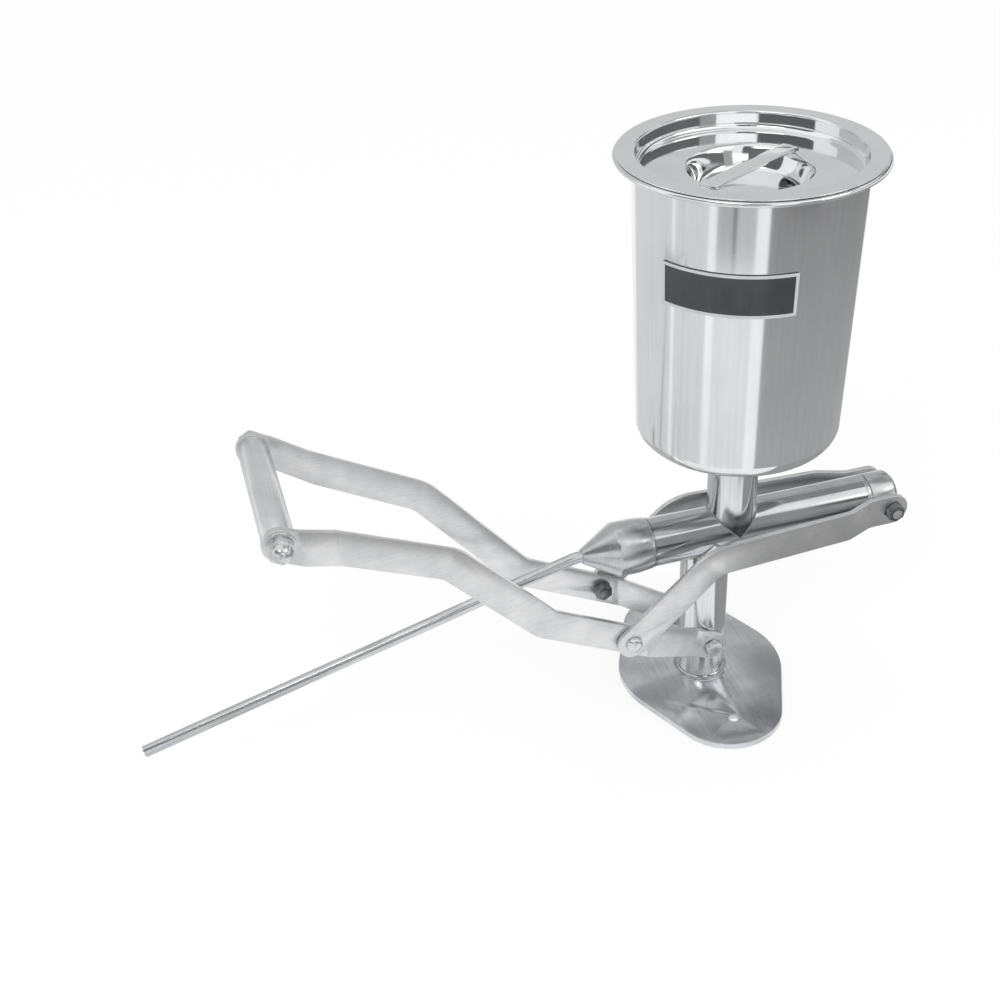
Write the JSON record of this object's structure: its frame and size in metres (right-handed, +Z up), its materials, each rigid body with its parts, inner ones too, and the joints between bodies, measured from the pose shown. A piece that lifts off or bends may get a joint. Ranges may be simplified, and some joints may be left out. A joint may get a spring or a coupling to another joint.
{
  "type": "donut filler machine",
  "caption": "Countertop donut filler: lidded pot hopper over a horizontal piston barrel on a post, with a lever and side links that push filling out of a long thin nozzle.",
  "frame": {"origin": "underside of the base plate, on the axis of the post", "axes": "+Z up; the barrel lies along Y with the nozzle towards -Y and the crosshead towards +Y; +X across the machine, towards its right side seen from behind the nozzle"},
  "size_m": [0.2, 0.6078, 0.4393],
  "materials": {
    "polished_plate": "polished stainless plate with fine grain",
    "polished_tube": "polished stainless tube",
    "mirror_sheet": "mirror-polished stainless sheet",
    "brushed_bar": "brushed stainless flat bar",
    "turned_steel": "turned stainless with fine lathe rings",
    "fastener_steel": "zinc-plated or stainless fastener",
    "dark_fastener": "dark steel fastener",
    "dark_plate": "bare dark nameplate blank",
    "piston_plastic": "white food-grade plastic",
    "seal_rubber": "black nitrile rubber",
    "gasket_rubber": "white food-grade silicone"
  },
  "bodies": {
    "stand": {"base_plate": "polished_plate", "post": "polished_tube", "barrel": "polished_tube", "neck_tube": "polished_tube", "hopper": "mirror_sheet", "nameplate": "dark_plate", "rear_bush": "turned_steel", "fulcrum_bolt": "fastener_steel", "fulcrum_nut": "fastener_steel"},
    "nozzle": {"cap_nut": "turned_steel", "cap_gasket": "gasket_rubber", "nozzle_ferrule": "turned_steel", "nozzle_tube": "polished_tube"},
    "lid": {"lid": "mirror_sheet", "lid_strap": "mirror_sheet"},
    "lever": {"lever_bar_right": "brushed_bar", "lever_bar_left": "brushed_bar", "grip_rod": "fastener_steel", "grip_washers": "fastener_steel", "grip_nuts": "fastener_steel", "pivot_nuts": "dark_fastener"},
    "grip": {"grip_tube": "polished_tube", "grip_bushes": "piston_plastic"},
    "crosshead": {"crosshead": "turned_steel", "link_studs": "fastener_steel", "link_nuts": "dark_fastener", "piston_rod": "turned_steel", "piston": "piston_plastic", "piston_seals": "seal_rubber", "piston_nut": "fastener_steel"},
    "links": {"link_right": "brushed_bar", "link_left": "brushed_bar", "pivot_bolts": "fastener_steel"}
  },
  "joints": [
    {"name": "lever_swing", "type": "hinge", "parent": "stand", "child": "lever", "pos_m": [0, 0, 0.042], "axis": [-1, 0, 0], "range_deg": [0, 40]},
    {"name": "piston_slide", "type": "slide", "parent": "stand", "child": "crosshead", "axis": [0, 1, 0], "range_m": [0, 0.04835]},
    {"name": "link_swing", "type": "hinge", "parent": "crosshead", "child": "links", "pos_m": [0, 0.1495, 0.1405], "axis": [-1, 0, 0], "range_deg": [0, 9.84]},
    {"name": "grip_spin", "type": "hinge", "parent": "lever", "child": "grip", "pos_m": [0, -0.32549, 0.24768], "axis": [1, 0, 0], "continuous": true},
    {"name": "nozzle_turn", "type": "hinge", "parent": "stand", "child": "nozzle", "pos_m": [0, -0.08, 0.1405], "axis": [0, 1, 0], "continuous": true},
    {"name": "lid_lift", "type": "slide", "parent": "stand", "child": "lid", "axis": [0, 0, 1], "range_m": [0, 0.08]}
  ],
  "couplings": [
    {"joint": "piston_slide", "follows": "lever_swing", "m_per_rad": 0.069253},
    {"joint": "link_swing", "follows": "lever_swing", "ratio": 0.24596}
  ]
}
